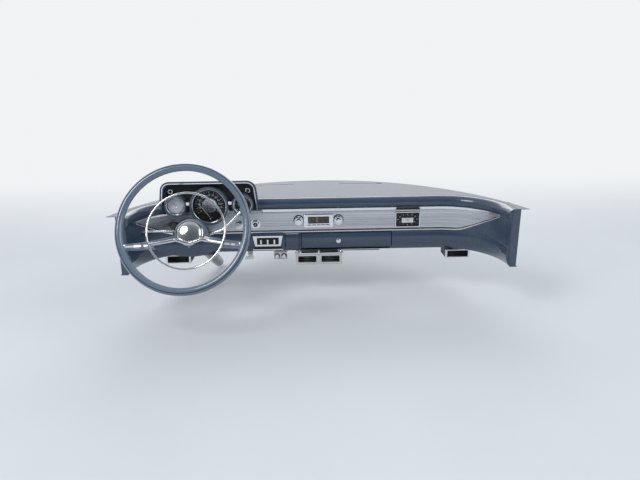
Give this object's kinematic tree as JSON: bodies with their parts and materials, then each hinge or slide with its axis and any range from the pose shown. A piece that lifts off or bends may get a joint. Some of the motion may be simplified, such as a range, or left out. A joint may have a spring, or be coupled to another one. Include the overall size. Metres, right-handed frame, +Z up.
{
  "type": "car dashboard with steering column and wheel",
  "caption": "Painted dashboard of a 1950s saloon car with a bright insert, hooded dials, radio, glove box, ashtray, steering column, wheel and shift lever",
  "frame": {"origin": "midway between the two bolts of the cowl flange, on the flange's seat", "axes": "+Y forward, +Z up, +X to the passenger's side"},
  "size_m": [1.468, 0.818, 0.5807],
  "materials": {
    "dash_paint": "semi-gloss slate blue enamel",
    "bracket_black": "satin black enamel",
    "brushed_insert": "fine horizontal brushing",
    "bright_trim": "bright plated",
    "panel_black": "pebbled black",
    "dial_rim": "satin blue-grey rims",
    "knob_plastic": "ivory",
    "knob_black": "polished",
    "liner_board": "pressed fibre board",
    "column_paint": "semi-gloss slate blue enamel",
    "outlet_silver": "silver enamel",
    "wheel_plastic": "moulded blue-grey",
    "bare_steel": "machined"
  },
  "bodies": {
    "dash": {"dash_top": "dash_paint", "dash_face": "dash_paint", "dash_end_left": "bracket_black", "dash_end_right": "bracket_black", "silver_insert": "brushed_insert", "insert_moulding": "bright_trim", "upper_band": "bright_trim", "hood": "dash_paint", "hood_bezel": "bright_trim", "instrument_panel": "panel_black", "speedometer": "dial_rim", "fuel_pod": "dial_rim", "heat_pod": "dial_rim", "signal_lamps": "bright_trim", "radio": "bright_trim", "radio_buttons": "knob_plastic", "radio_knobs": "bright_trim", "clock": "bright_trim", "ignition_switch": "bright_trim", "wiper_switch": "bright_trim", "light_switch": "knob_black", "heater_control": "bright_trim", "heater_levers": "bright_trim", "glove_box": "liner_board", "ashtray_sleeve": "bracket_black", "column_jacket": "column_paint", "signal_housing": "column_paint", "signal_lever": "bright_trim", "column_bracket": "bracket_black", "air_centre": "outlet_silver", "air_centre_vanes": "panel_black", "air_left": "panel_black", "air_right": "panel_black", "air_control": "outlet_silver", "air_knobs": "bright_trim", "brake_pull": "bright_trim"},
    "steering": {"steering_wheel": "wheel_plastic", "horn_ring": "bright_trim", "horn_cap": "bright_trim", "spoke_bars": "bright_trim", "steering_shaft": "bare_steel"},
    "shift": {"shift_lever": "bright_trim"},
    "glove_lid": {"glove_door": "dash_paint", "glove_knob": "bright_trim"},
    "ash_drawer": {"ashtray": "dash_paint"}
  },
  "joints": [
    {"name": "steering", "type": "hinge", "parent": "dash", "child": "steering", "pos_m": [-0.4605, -0.6319, -0.0195], "axis": [0, 0.8829, -0.4695], "continuous": true},
    {"name": "shift", "type": "hinge", "parent": "dash", "child": "shift", "pos_m": [-0.4605, -0.45885, -0.11152], "axis": [0, 0.8829, -0.4695], "range_deg": [0, 45]},
    {"name": "glove_door", "type": "hinge", "parent": "dash", "child": "glove_lid", "pos_m": [0.11, -0.3199, -0.191], "axis": [1, 0, 0], "range_deg": [0, 75]},
    {"name": "ashtray", "type": "slide", "parent": "dash", "child": "ash_drawer", "axis": [0, -1, 0], "range_m": [0, 0.06]}
  ]
}
